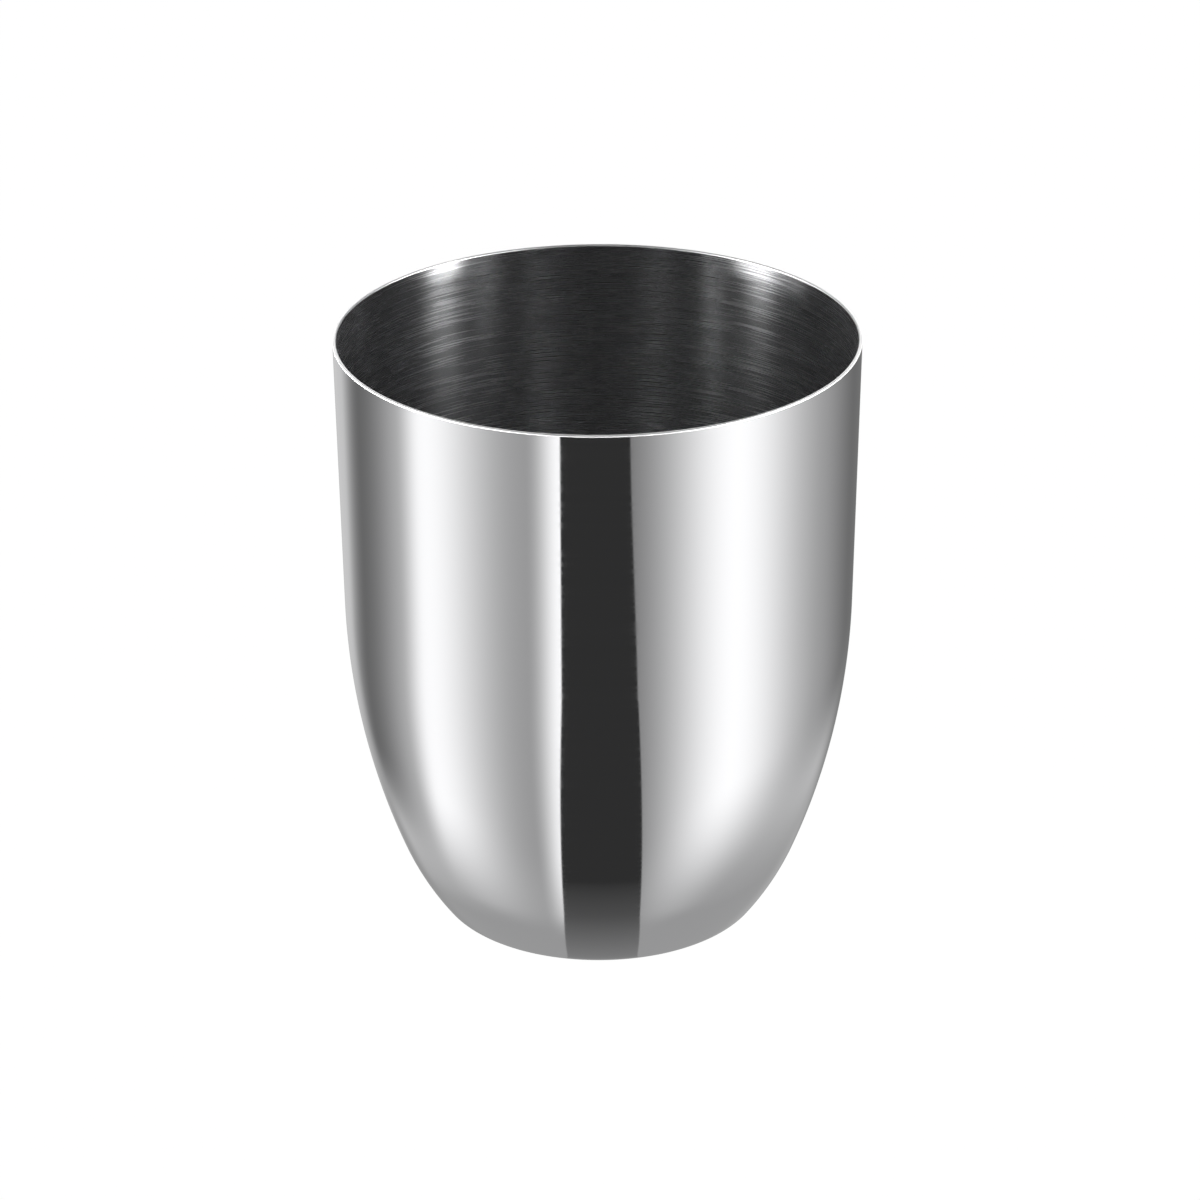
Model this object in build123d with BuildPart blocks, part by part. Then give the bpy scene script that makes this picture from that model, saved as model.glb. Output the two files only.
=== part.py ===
"""A deep drawn stainless steel cup: one sheet metal shell of even thickness, in millimetres.

The cup stands on the XY plane and is round about the Z axis, with the origin at the middle of its base.
Its side is drawn as one tangent chain, from the trimmed lip down: a straight wall that leans in a little,
a long belly arc, a shorter heel arc, a tight corner and the flat ring that it stands on. Inside that ring
the bottom steps up to a flat panel. A slope is the angle, in degrees, by which the side leans in from the
vertical at that height.
"""

import os
from math import acos, cos, degrees, radians, sin, tan

from build123d import *

# Mouth, height and sheet
mouth_diameter = 75.0  # outside, at the lip
height = 88.5
wall = 0.5  # thickness of the drawn sheet

# Side of the cup, outside, from the top down
wall_draft = 1.1  # slope of the straight wall
shoulder_height = 48.4  # where the straight wall turns into the belly
heel_height = 10.9  # where the belly turns into the heel
heel_slope = 21.7
foot_slope = 36.8  # slope at the foot of the heel, where the corner starts
corner_radius = 3.0  # outside, from the heel round to the base

# Bottom
ring_width = 5.0  # flat ring that the cup stands on
panel_rise = 1.0  # height of the panel's underside over the ring
panel_bend = 2.0  # radius of both bends of the step, on the underside


def heading(slope):
    """The direction of travel down the side where it has this slope."""
    return (-sin(radians(slope)), -cos(radians(slope)))


def side_arc(start, upper_slope, lower_slope, drop):
    """An arc down the side that turns from one slope to the next within the given drop in height."""
    radius = drop / (sin(radians(lower_slope)) - sin(radians(upper_slope)))
    return JernArc(start, heading(upper_slope), radius, upper_slope - lower_slope)


# The lip is a full round on the trimmed edge, so the straight wall ends half a thickness below the top
edge_height = height - wall / 2 * (1 + sin(radians(wall_draft)))
edge_point = (mouth_diameter / 2, edge_height)
straight_drop = edge_height - shoulder_height
shoulder_point = (mouth_diameter / 2 - straight_drop * tan(radians(wall_draft)), shoulder_height)
corner_height = corner_radius * (1 - sin(radians(foot_slope)))
flat_slope = 90.0
step_angle = degrees(acos(1 - panel_rise / (2 * panel_bend)))

with BuildPart() as cup:
    with BuildSketch(Plane.XZ) as section:
        with BuildLine() as outline:
            straight = Line(edge_point, shoulder_point)
            belly = side_arc(straight @ 1, wall_draft, heel_slope, shoulder_height - heel_height)
            heel = side_arc(belly @ 1, heel_slope, foot_slope, heel_height - corner_height)
            corner = side_arc(heel @ 1, foot_slope, flat_slope, corner_height)
            ring = Line(corner @ 1, corner @ 1 - (ring_width, 0))
            rising_bend = JernArc(ring @ 1, ring % 1, panel_bend, -step_angle)
            level_bend = JernArc(rising_bend @ 1, rising_bend % 1, panel_bend, step_angle)
            panel = Line(level_bend @ 1, (0, panel_rise))
            inside = offset(amount=wall, side=Side.RIGHT, closed=False, mode=Mode.ADD)
            lip = TangentArc(straight @ 0, inside @ 0, tangent=-(straight % 0))
            middle = Line(panel @ 1, inside @ 1)
        make_face()
    revolve(axis=Axis.Z)

cup.part.label = "cup"

os.makedirs("parts", exist_ok=True)
export_step(cup.part, "parts/cup.step")
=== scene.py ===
from math import acos, cos, hypot, pi, radians, sin, tan

import bpy
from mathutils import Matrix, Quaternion, Vector


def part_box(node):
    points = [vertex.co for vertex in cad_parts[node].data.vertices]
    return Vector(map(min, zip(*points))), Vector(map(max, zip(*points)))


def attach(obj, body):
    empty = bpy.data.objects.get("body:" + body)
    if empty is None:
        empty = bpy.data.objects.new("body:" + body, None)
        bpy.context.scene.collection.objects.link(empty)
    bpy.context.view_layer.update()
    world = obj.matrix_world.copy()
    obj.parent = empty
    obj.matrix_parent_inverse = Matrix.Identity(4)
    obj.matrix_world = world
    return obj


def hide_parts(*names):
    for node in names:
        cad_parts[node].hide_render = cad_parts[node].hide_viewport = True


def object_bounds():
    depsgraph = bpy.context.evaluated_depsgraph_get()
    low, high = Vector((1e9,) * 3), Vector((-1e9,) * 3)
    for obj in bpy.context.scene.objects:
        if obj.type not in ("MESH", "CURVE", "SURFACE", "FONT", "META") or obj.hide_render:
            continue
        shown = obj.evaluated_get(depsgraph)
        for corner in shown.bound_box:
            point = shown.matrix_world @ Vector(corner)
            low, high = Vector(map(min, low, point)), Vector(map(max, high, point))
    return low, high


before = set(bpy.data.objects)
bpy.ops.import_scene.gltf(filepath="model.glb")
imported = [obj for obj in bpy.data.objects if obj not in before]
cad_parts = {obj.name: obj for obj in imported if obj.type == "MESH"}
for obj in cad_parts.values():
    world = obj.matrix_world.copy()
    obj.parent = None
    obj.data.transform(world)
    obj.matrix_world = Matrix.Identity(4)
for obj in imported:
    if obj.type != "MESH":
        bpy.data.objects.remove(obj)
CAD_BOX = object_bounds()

MM = 0.001

# The cup's outline, as the solid has it, in metres and radians. A slope is the lean from the vertical
CUP_LOW, CUP_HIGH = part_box("cup")
MOUTH_RADIUS = (CUP_HIGH[0] - CUP_LOW[0]) / 2
HEIGHT = CUP_HIGH[2] - CUP_LOW[2]
WALL = 0.5 * MM
WALL_DRAFT = radians(1.1)
SHOULDER_HEIGHT = 48.4 * MM
HEEL_HEIGHT = 10.9 * MM
HEEL_SLOPE = radians(21.7)
FOOT_SLOPE = radians(36.8)
CORNER_RADIUS = 3.0 * MM
RING_WIDTH = 5.0 * MM
PANEL_RISE = 1.0 * MM
PANEL_BEND = 2.0 * MM

# The camera of the photograph
VIEW_DOWN = radians(24.36)
VIEW_DISTANCE = 0.700
AIM_HEIGHT = 47.3 * MM
VIEW_ROLL = radians(-0.25)
VIEW_SHIFT = 0.0012
LENS_MM = 144.75
SENSOR_MM = 36.0


class Nodes:
    """Adds nodes to one tree. An input that is given a socket is linked to it."""

    def __init__(self, tree):
        self.tree = tree

    def add(self, kind, inputs=None, **settings):
        node = self.tree.nodes.new(kind)
        for name, value in settings.items():
            setattr(node, name, value)
        for key, value in (inputs or {}).items():
            if isinstance(value, bpy.types.NodeSocket):
                self.tree.links.new(value, node.inputs[key])
            else:
                node.inputs[key].default_value = value
        return node

    def math(self, operation, *values):
        return self.add("ShaderNodeMath", dict(enumerate(values)), operation=operation).outputs[0]

    def vector(self, operation, *values):
        node = self.add("ShaderNodeVectorMath", dict(enumerate(values)), operation=operation)
        return node.outputs["Value" if operation in ("LENGTH", "DOT_PRODUCT") else "Vector"]

    def mix(self, share, first, second):
        """A number that goes from first to second as share goes from 0 to 1."""
        return self.add("ShaderNodeMix", {0: share, 2: first, 3: second}).outputs[0]

    def soft_step(self, value, start, end, low=0.0, high=1.0):
        """From low at start to high at end, eased at both ends. Start may lie past end."""
        inputs = {0: value, 1: start, 2: end, 3: low, 4: high}
        return self.add("ShaderNodeMapRange", inputs, interpolation_type="SMOOTHSTEP").outputs[0]


def new_material(name):
    material = bpy.data.materials.new(name)
    material.use_nodes = True
    material.node_tree.nodes.clear()
    return material, Nodes(material.node_tree)


# Camera
def make_camera():
    data = bpy.data.cameras.new("photo_camera")
    data.lens = LENS_MM
    data.sensor_width = SENSOR_MM
    camera = bpy.data.objects.new("photo_camera", data)
    bpy.context.scene.collection.objects.link(camera)
    aim = Vector((0.0, 0.0, AIM_HEIGHT))
    towards_camera = Vector((0.0, -cos(VIEW_DOWN), sin(VIEW_DOWN)))
    camera.location = aim + towards_camera * VIEW_DISTANCE
    looking = (-towards_camera).to_track_quat("-Z", "Y")
    camera.rotation_euler = (looking @ Quaternion((0.0, 0.0, 1.0), VIEW_ROLL)).to_euler()
    data.shift_x = VIEW_SHIFT
    bpy.context.scene.camera = camera


# Studio: what the polished steel mirrors. It isn't an even light. Its tones, 0 to 1, were fitted to the
# photograph and are laid out for that one viewpoint, so what the cup mirrors in other views is invented.
# A side angle is where round the cup's side a thing shows to the photograph's camera, in degrees from the
# front, minus to the left. A depth is how far the wall that mirrors a thing there faces down, 0 to 1
FILL_TONE = 0.392
PANELS = {
    # name: (starts, full from, full to, ends, tone added)
    "left_back_glow": (-64.5, -78, -110, -170, 0.337),
    "left_softbox": (-66, -40, -41, -15, 0.392),
    "left_fill": (-50, -42, -1, 1, 0.204),
    "key_strip": (-16, -8, -1, 1, 0.40),
    "right_softbox": (-1, 32, 31.5, 59, 0.357),
    "right_fill": (-1, 32, 52, 80, 0.251),
}
# The table's glow takes over lower down. It lies a little to the right, and starts higher at the sides
GLOW_TILT = 0.05
GLOW_STARTS, GLOW_STARTS_RISE = 0.30, 0.17
GLOW_FULL, GLOW_FULL_RISE = 0.59, 0.29
GLOW_BRIGHT, GLOW_TONE = 0.70, 0.582
GLOW_DIMS, GLOW_DIMMED = 0.28, 0.48
# The dark card hangs in front of the panels. Its right edge leans near the top, and it is wider at its foot
CARD_TONE = 0.176
CARD_LEFT, CARD_LEFT_SPREAD = 8.1, 5.2
CARD_RIGHT, CARD_RIGHT_SPREAD = 8.5, 7.2
CARD_LEAN, CARD_LEAN_DEPTH = 1.6, 0.035
CARD_EDGE = 0.2
# The glow creeps up the card's foot
CREEP_STARTS, CREEP_ENDS, CREEP_POWER = 0.335, 0.835, 0.6
# The even tones behind the cup, low and high, and how far round they reach
SEAM_LEFT_TONES = (0.55, 0.735)
SEAM_RIGHT_TONES = (0.62, 0.41)
SEAM_LOW = -0.14
SEAM_BLEND = 0.25
SEAM_FULL, SEAM_ENDS = radians(12), radians(32)
CEILING_TONE = 0.12
CEILING_SHARE = 0.08
CEILING_STARTS, CEILING_FULL = -0.06, 0.08
# A thin band of light all round, just below level. It draws the lip white and can't shine into the cup
BAND_TOP, BAND_FOOT, BAND_EDGE = -0.005, -0.065, 0.01
BAND_LIGHT = 32.0
# A round light behind the cup, which whitens the top of the lip
BACK_FULL, BACK_ENDS = radians(22), radians(30)
BACK_LIGHT = 1.5
FIRST_MIRROR_DEPTH = 2.5
STEEL_MIRRORS = 0.80
# A display's curve
DISPLAY_OFFSET, DISPLAY_POWER = 0.055, 2.4


def panel_tone(n, side):
    tone = FILL_TONE
    for starts, full_from, full_to, ends, added in PANELS.values():
        lit = n.math("MULTIPLY", n.soft_step(side, starts, full_from), n.soft_step(side, ends, full_to))
        tone = n.math("MULTIPLY_ADD", lit, added, tone)
    return tone


def with_table_glow(n, tone, side, down):
    across = n.math("SINE", n.math("RADIANS", side))
    low = n.math("MULTIPLY_ADD", across, GLOW_TILT, down)
    width = n.math("ABSOLUTE", across)
    starts = n.math("MULTIPLY_ADD", width, -GLOW_STARTS_RISE, GLOW_STARTS)
    full = n.math("MULTIPLY_ADD", width, -GLOW_FULL_RISE, GLOW_FULL)
    glow_tone = n.soft_step(low, GLOW_DIMS, GLOW_DIMMED, GLOW_BRIGHT, GLOW_TONE)
    return n.mix(n.soft_step(low, starts, full), tone, glow_tone)


def with_dark_card(n, tone, side, down):
    below = n.math("MAXIMUM", down, 0.0)
    left_edge = n.math("MULTIPLY_ADD", below, -CARD_LEFT_SPREAD, -CARD_LEFT)
    right_edge = n.math("MULTIPLY_ADD", below, CARD_RIGHT_SPREAD, CARD_RIGHT)
    right_edge = n.math("SUBTRACT", right_edge, n.soft_step(down, CARD_LEAN_DEPTH, 0.0, 0.0, CARD_LEAN))
    in_left = n.soft_step(n.math("SUBTRACT", side, left_edge), -CARD_EDGE, CARD_EDGE)
    in_right = n.soft_step(n.math("SUBTRACT", right_edge, side), -CARD_EDGE, CARD_EDGE)
    up_the_foot = n.add("ShaderNodeMapRange", {0: down, 1: CREEP_STARTS, 2: CREEP_ENDS}).outputs[0]
    card_tone = n.mix(n.math("POWER", up_the_foot, CREEP_POWER), CARD_TONE, GLOW_TONE)
    return n.mix(n.math("MULTIPLY", in_left, in_right), tone, card_tone)


def with_seam_covered(n, tone, direction, view, sideways, high):
    """Straight on from the camera all sides meet. There two even tones, left and right, cover the seam."""
    rise = n.math("ADD", high, sin(VIEW_DOWN))
    left_tone = n.soft_step(rise, SEAM_LOW, 0.0, *SEAM_LEFT_TONES)
    right_tone = n.soft_step(rise, SEAM_LOW, 0.0, *SEAM_RIGHT_TONES)
    seam_tone = n.soft_step(sideways, -SEAM_BLEND, SEAM_BLEND, left_tone, right_tone)
    straight = n.vector("DOT_PRODUCT", direction, view)
    return n.mix(n.soft_step(straight, cos(SEAM_ENDS), cos(SEAM_FULL)), tone, seam_tone)


def with_ceiling(n, tone, high):
    """A dark ceiling, with a little left of the panels' tones."""
    above = n.soft_step(high, CEILING_STARTS, CEILING_FULL)
    return n.mix(above, tone, n.mix(CEILING_SHARE, CEILING_TONE, tone))


def as_light(n, tone):
    """From tones to light, the way a display's curve runs."""
    whole = 1 + DISPLAY_OFFSET
    light = n.math("POWER", n.math("MULTIPLY_ADD", tone, 1 / whole, DISPLAY_OFFSET / whole), DISPLAY_POWER)
    return n.math("DIVIDE", light, STEEL_MIRRORS)


def with_lip_lights(n, light, direction, high, path):
    """The two lights for the lip. Neither behaves as a real one: mirrored rays don't see the band, or it
    would white out the wall, and only the first mirror on a ray's way sees the light behind, or its light
    would gather in the cup."""
    under_top = n.soft_step(high, BAND_TOP, BAND_TOP - BAND_EDGE)
    over_foot = n.soft_step(high, BAND_FOOT, BAND_FOOT + BAND_EDGE)
    band = n.math("MULTIPLY", under_top, over_foot)
    band = n.math("MULTIPLY", band, n.math("SUBTRACT", 1.0, path["Is Glossy Ray"]))
    light = n.math("MULTIPLY_ADD", band, BAND_LIGHT, light)
    is_first = n.math("LESS_THAN", path["Ray Depth"], FIRST_MIRROR_DEPTH)
    first_mirror = n.math("MULTIPLY", path["Is Glossy Ray"], is_first)
    behind = n.vector("DOT_PRODUCT", direction, (0.0, cos(VIEW_DOWN), sin(VIEW_DOWN)))
    behind = n.soft_step(behind, cos(BACK_ENDS), cos(BACK_FULL))
    return n.math("MULTIPLY_ADD", n.math("MULTIPLY", behind, first_mirror), BACK_LIGHT, light)


def make_studio():
    world = bpy.data.worlds.new("studio")
    world.use_nodes = True
    world.node_tree.nodes.clear()
    bpy.context.scene.world = world
    n = Nodes(world.node_tree)
    direction = n.add("ShaderNodeTexCoord").outputs["Generated"]
    sideways, _, high = n.add("ShaderNodeSeparateXYZ", {0: direction}).outputs
    path = n.add("ShaderNodeLightPath").outputs

    # The lean of the mirror that would send each direction on to the photograph's camera
    view = (0.0, cos(VIEW_DOWN), -sin(VIEW_DOWN))
    lean = n.vector("NORMALIZE", n.vector("SUBTRACT", direction, view))
    lean_x, lean_y, lean_z = n.add("ShaderNodeSeparateXYZ", {0: lean}).outputs
    side = n.math("DEGREES", n.math("ARCTAN2", lean_x, n.math("MULTIPLY", lean_y, -1.0)))
    down = n.math("MULTIPLY", lean_z, -1.0)

    tone = panel_tone(n, side)
    tone = with_table_glow(n, tone, side, down)
    tone = with_dark_card(n, tone, side, down)
    tone = with_seam_covered(n, tone, direction, view, sideways, high)
    tone = with_ceiling(n, tone, high)
    light = with_lip_lights(n, as_light(n, tone), direction, high, path)

    # The camera itself sees plain white
    studio = n.add("ShaderNodeBackground", {"Color": (1, 1, 1, 1), "Strength": light})
    backdrop = n.add("ShaderNodeBackground", {"Color": (1, 1, 1, 1), "Strength": 1.0})
    shaders = {0: path["Is Camera Ray"], 1: studio.outputs[0], 2: backdrop.outputs[0]}
    seen = n.add("ShaderNodeMixShader", shaders).outputs[0]
    n.add("ShaderNodeOutputWorld", {"Surface": seen})


# Lamps beside the cup, which draw the two fans of light on the brushed inside. A lamp on the left draws the
# right fan, and the other way round. A low lamp is seen past the lip only from the top of the wall. They
# give no diffuse light
LAMP_DISTANCE = 0.5
LAMPS = {
    # name: (degrees round from the front, lowest and highest rise in degrees, width in metres, watts)
    "left_low": (-76, 0.3, 2.8, 0.16, 1.35),
    "left_middle": (-79, 2.8, 7.0, 0.10, 0.42),
    "left_high": (-80, 7.0, 26.0, 0.08, 0.50),
    "left_outer": (-93, 0.5, 4.0, 0.20, 0.45),
    "left_skirt": (-68, 2.0, 34.0, 0.15, 0.038),
    "right_low": (72, 0.3, 2.8, 0.12, 1.70),
    "right_middle": (76, 2.8, 7.0, 0.08, 0.04),
    "right_high": (76, 7.0, 28.0, 0.09, 1.02),
    "right_skirt": (64, 2.0, 34.0, 0.16, 0.034),
}
# A wide soft lamp above, for the even grey of the brushed inside. It isn't mirrored
TOP_LAMP_HEIGHT = 0.6
TOP_LAMP_WIDTH = 1.6
TOP_LAMP_WATTS = 3.2


def new_lamp(name, shape, watts):
    data = bpy.data.lights.new(name, "AREA")
    data.shape = shape
    data.energy = watts
    lamp = bpy.data.objects.new(name, data)
    bpy.context.scene.collection.objects.link(lamp)
    lamp.visible_camera = False
    return lamp


def make_side_lamp(name, azimuth, lowest, highest, width, watts):
    lamp = new_lamp(name, "RECTANGLE", watts)
    lamp.data.size = width
    lamp.data.size_y = LAMP_DISTANCE * radians(highest - lowest)
    turn = radians(azimuth)
    rise = radians(lowest + highest) / 2
    towards = Vector((cos(rise) * sin(turn), -cos(rise) * cos(turn), sin(rise)))
    lamp.location = Vector((0.0, 0.0, HEIGHT)) + towards * LAMP_DISTANCE
    lamp.rotation_euler = (-towards).to_track_quat("-Z", "Y").to_euler()
    lamp.visible_diffuse = False


def make_top_lamp():
    lamp = new_lamp("top", "DISK", TOP_LAMP_WATTS)
    lamp.data.size = TOP_LAMP_WIDTH
    lamp.location = (0.0, 0.0, TOP_LAMP_HEIGHT)
    lamp.visible_glossy = False


def make_lamps():
    for name, values in LAMPS.items():
        make_side_lamp(name, *values)
    make_top_lamp()


# Floor: it glows almost white, so it takes almost no shadow, and the steel doesn't mirror it
FLOOR_REACH = 6.0
FLOOR_GLOW = 0.996
FLOOR_PAINT = (0.02, 0.02, 0.02, 1)


def make_floor():
    mesh = bpy.data.meshes.new("floor")
    corners = [(x, y, CAD_BOX[0][2]) for x, y in ((-1, -1), (1, -1), (1, 1), (-1, 1))]
    mesh.from_pydata([(x * FLOOR_REACH, y * FLOOR_REACH, z) for x, y, z in corners], [], [(0, 1, 2, 3)])
    floor = bpy.data.objects.new("floor", mesh)
    bpy.context.scene.collection.objects.link(floor)
    material, n = new_material("pale_floor")
    paint = n.add("ShaderNodeBsdfDiffuse", {"Color": FLOOR_PAINT})
    glow = n.add("ShaderNodeEmission", {"Color": (1, 1, 1, 1), "Strength": FLOOR_GLOW})
    both = n.add("ShaderNodeAddShader", {0: paint.outputs[0], 1: glow.outputs[0]})
    n.add("ShaderNodeOutputMaterial", {"Surface": both.outputs[0]})
    mesh.materials.append(material)
    floor.visible_glossy = False
    floor.visible_shadow = False


# Steel finishes. A line is (length, width). Noise from first to last of NOISE_SPAN drives the roughness
NOISE_SPAN = (0.3, 0.7)
NOISE_ROUGHNESS = 0.6
LINE_DETAIL = 2.0
MIRROR_COLOUR = (0.80, 0.80, 0.81, 1)
MIRROR_LINE = (30 * MM, 0.6 * MM)
MIRROR_ROUGH = (0.03, 0.06)
# The lip is satin, because that draws it white in this studio. The photograph can't tell its finish. Its
# colour is steel, made lighter than the mirror steel round it as a painted highlight that helps draw the
# lip white
LIP_STEEL_AND_HIGHLIGHT_COLOUR = (0.90, 0.90, 0.90, 1)
LIP_LINE = (10 * MM, 0.2 * MM)
LIP_ROUGH = (0.45, 0.55)
# The brushed steel is dimmer than steel, and less than fully metallic, to match tones in this studio
BRUSHED_COLOUR = (0.55, 0.55, 0.56, 1)
BRUSHED_METALLIC = 0.85
BROAD_LINE, BROAD_HEIGHT = (12 * MM, 0.9 * MM), 1.5
FINE_LINE, FINE_DETAIL = (12 * MM, 0.18 * MM), 1.0
FINE_SPAN = (0.46, 0.70)
BRUSHED_ROUGH = (0.22, 0.32)
BRUSH_DEPTH = 0.012 * MM
BRUSH_ANISOTROPY = 0.9
QUARTER_TURN = 0.25


def hairlines(n, line, detail=LINE_DETAIL):
    """Noise drawn out round the axis. Across the lines it runs down the wall and in to the middle."""
    length, width = line
    place = n.add("ShaderNodeTexCoord").outputs["Object"]
    x, y, z = n.add("ShaderNodeSeparateXYZ", {0: place}).outputs
    flat = n.add("ShaderNodeCombineXYZ", {0: x, 1: y}).outputs[0]
    across = n.math("ADD", n.vector("LENGTH", flat), z)
    scaled = [n.math("DIVIDE", x, length), n.math("DIVIDE", y, length), n.math("DIVIDE", across, width)]
    place = n.add("ShaderNodeCombineXYZ", dict(enumerate(scaled))).outputs[0]
    inputs = {"Vector": place, "Scale": 1.0, "Detail": detail, "Roughness": NOISE_ROUGHNESS}
    return n.add("ShaderNodeTexNoise", inputs).outputs["Fac"]


def hazy_steel(name, colour, line, roughness):
    material, n = new_material(name)
    rough = n.soft_step(hairlines(n, line), *NOISE_SPAN, *roughness)
    shader = n.add("ShaderNodeBsdfPrincipled", {"Base Color": colour, "Metallic": 1.0, "Roughness": rough})
    n.add("ShaderNodeOutputMaterial", {"Surface": shader.outputs[0]})
    return material


def brushed_steel(name):
    material, n = new_material(name)
    broad = hairlines(n, BROAD_LINE)
    fine = hairlines(n, FINE_LINE, FINE_DETAIL)
    rough = n.soft_step(fine, *FINE_SPAN, *BRUSHED_ROUGH)
    height = n.math("MULTIPLY_ADD", broad, BROAD_HEIGHT, fine)
    bump = n.add("ShaderNodeBump", {"Strength": 1.0, "Distance": BRUSH_DEPTH, "Height": height})
    tangent = n.add("ShaderNodeTangent", direction_type="RADIAL", axis="Z").outputs[0]
    inputs = {
        "Base Color": BRUSHED_COLOUR,
        "Metallic": BRUSHED_METALLIC,
        "Roughness": rough,
        "Anisotropic": BRUSH_ANISOTROPY,
        "Anisotropic Rotation": QUARTER_TURN,
        "Tangent": tangent,
        "Normal": bump.outputs[0],
    }
    shader = n.add("ShaderNodeBsdfPrincipled", inputs)
    n.add("ShaderNodeOutputMaterial", {"Surface": shader.outputs[0]})
    return material


# The cup, turned from its section. Each stretch of the section is a list of points (radius, height)
TURNS = 240
WALL_STEPS = 40
BELLY_STEPS = 40
HEEL_STEPS = 12
CORNER_STEPS = 10
RING_STEPS = 5
BEND_STEPS = 6
PANEL_STEPS = 14
LIP_STEPS = 12
GUARD_ROW = 0.02 * MM
ON_AXIS = 1e-9
OUTSIDE, LIP, INSIDE, UNDERSIDE = range(4)


def arc_points(centre, radius, start, end, steps):
    """Points on an arc, after its first, from one angle to another, anticlockwise from +radius."""
    angles = [start + (end - start) * i / steps for i in range(1, steps + 1)]
    return [(centre[0] + radius * cos(a), centre[1] + radius * sin(a)) for a in angles]


def line_points(start, end, steps):
    """Points on a straight, after its first. A row close to each end keeps its shading flat up to there."""
    guard = GUARD_ROW / hypot(end[0] - start[0], end[1] - start[1])
    shares = [guard] + [i / steps for i in range(1, steps)] + [1 - guard, 1]
    return [(start[0] + (end[0] - start[0]) * t, start[1] + (end[1] - start[1]) * t) for t in shares]


def side_points(inset):
    """The side from the edge down to the ring, moved in by inset, and the ring's start on the outside."""
    edge_height = HEIGHT - WALL / 2 * (1 + sin(WALL_DRAFT))
    shoulder_radius = MOUTH_RADIUS - (edge_height - SHOULDER_HEIGHT) * tan(WALL_DRAFT)
    corner_height = CORNER_RADIUS * (1 - sin(FOOT_SLOPE))
    belly_radius = (SHOULDER_HEIGHT - HEEL_HEIGHT) / (sin(HEEL_SLOPE) - sin(WALL_DRAFT))
    heel_radius = (HEEL_HEIGHT - corner_height) / (sin(FOOT_SLOPE) - sin(HEEL_SLOPE))
    bends = [
        (WALL_DRAFT, HEEL_SLOPE, belly_radius, BELLY_STEPS),
        (HEEL_SLOPE, FOOT_SLOPE, heel_radius, HEEL_STEPS),
        (FOOT_SLOPE, pi / 2, CORNER_RADIUS, CORNER_STEPS),
    ]
    into = (-cos(WALL_DRAFT) * inset, sin(WALL_DRAFT) * inset)
    points = [(MOUTH_RADIUS + into[0], edge_height + into[1])]
    place = (shoulder_radius, SHOULDER_HEIGHT)
    points += line_points(points[0], (place[0] + into[0], place[1] + into[1]), WALL_STEPS)
    for upper, lower, radius, steps in bends:
        centre = (place[0] - radius * cos(upper), place[1] + radius * sin(upper))
        points += arc_points(centre, radius - inset, -upper, -lower, steps)
        place = (centre[0] + radius * cos(lower), centre[1] - radius * sin(lower))
    return points, place


def base_points(start, ring_start, inset):
    """The ring, the step and the raised middle, after the point where the side ends."""
    ring_end = (ring_start[0] - RING_WIDTH, ring_start[1])
    points = line_points(start, (ring_end[0], ring_end[1] + inset), RING_STEPS)
    turn = acos(1 - PANEL_RISE / (2 * PANEL_BEND))
    low_centre = (ring_end[0], ring_end[1] + PANEL_BEND)
    points += arc_points(low_centre, PANEL_BEND - inset, -pi / 2, -pi / 2 - turn, BEND_STEPS)
    panel_edge = ring_end[0] - 2 * PANEL_BEND * sin(turn)
    high_centre = (panel_edge, PANEL_RISE - PANEL_BEND)
    points += arc_points(high_centre, PANEL_BEND + inset, pi / 2 - turn, pi / 2, BEND_STEPS)
    return points + line_points(points[-1], (0.0, PANEL_RISE + inset), PANEL_STEPS)


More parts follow.
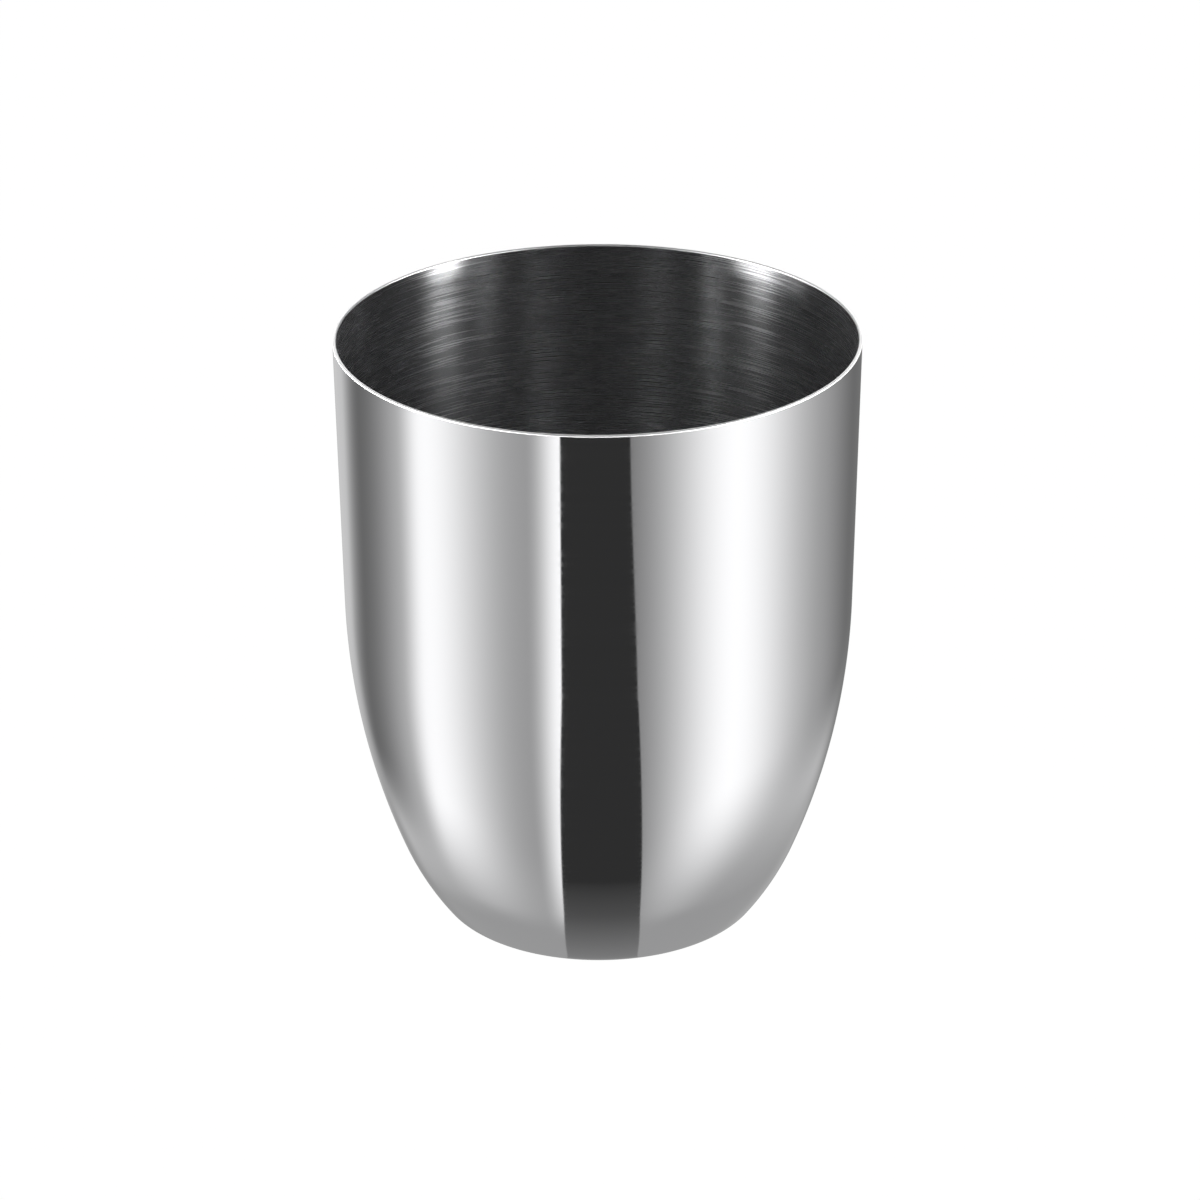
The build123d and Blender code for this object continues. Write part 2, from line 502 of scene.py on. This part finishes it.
def cup_section():
    """The whole section, from the axis under the base to the axis inside, and each stretch's finish."""
    outer_side, outer_ring = side_points(0.0)
    inner_side, inner_ring = side_points(WALL)
    outside = outer_side + base_points(outer_side[-1], outer_ring, 0.0)
    inside = inner_side + base_points(inner_side[-1], inner_ring, WALL)
    lip_centre = ((outside[0][0] + inside[0][0]) / 2, (outside[0][1] + inside[0][1]) / 2)
    lip = arc_points(lip_centre, WALL / 2, -WALL_DRAFT, pi - WALL_DRAFT, LIP_STEPS)[:-1]
    under_rows = len(outside) - len(outer_side)
    row_finishes = [UNDERSIDE] * under_rows + [OUTSIDE] * (len(outer_side) - 1)
    row_finishes += [LIP] * (len(lip) + 1) + [INSIDE] * (len(inside) - 1)
    return outside[::-1] + lip + inside, row_finishes


def turn_section(section):
    """The vertices of the turned section, and for each of its points the ring of their numbers."""
    verts, rings = [], []
    for radius, height in section:
        z = CUP_LOW[2] + height
        if radius < ON_AXIS:
            rings.append([len(verts)] * TURNS)
            verts.append((0.0, 0.0, z))
            continue
        rings.append(list(range(len(verts), len(verts) + TURNS)))
        for i in range(TURNS):
            angle = 2 * pi * i / TURNS
            verts.append((radius * cos(angle), radius * sin(angle), z))
    return verts, rings


def make_cup():
    section, row_finishes = cup_section()
    verts, rings = turn_section(section)
    faces, slots = [], []
    for lower, upper, finish in zip(rings, rings[1:], row_finishes):
        for i in range(TURNS):
            j = (i + 1) % TURNS
            corners = [lower[i], lower[j], upper[j], upper[i]]
            faces.append(list(dict.fromkeys(corners)))
            slots.append(finish)
    finishes = {
        OUTSIDE: hazy_steel("mirror_polish", MIRROR_COLOUR, MIRROR_LINE, MIRROR_ROUGH),
        # The lip's colour is partly a painted highlight, lighter than the steel beside it
        LIP: hazy_steel("lip_polish_and_painted_highlight", LIP_STEEL_AND_HIGHLIGHT_COLOUR, LIP_LINE, LIP_ROUGH),
        INSIDE: brushed_steel("brushed_inside"),
        UNDERSIDE: brushed_steel("brushed_base"),
    }
    mesh = bpy.data.meshes.new("cup_shell")
    mesh.from_pydata(verts, [], faces)
    for slot in sorted(finishes):
        mesh.materials.append(finishes[slot])
    mesh.polygons.foreach_set("material_index", slots)
    mesh.polygons.foreach_set("use_smooth", [True] * len(faces))
    mesh.update()
    cup = bpy.data.objects.new("cup_shell", mesh)
    bpy.context.scene.collection.objects.link(cup)
    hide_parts("cup")
    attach(cup, "root")


bpy.context.scene.view_settings.view_transform = "Standard"
make_camera()
make_studio()
make_lamps()
make_floor()
make_cup()
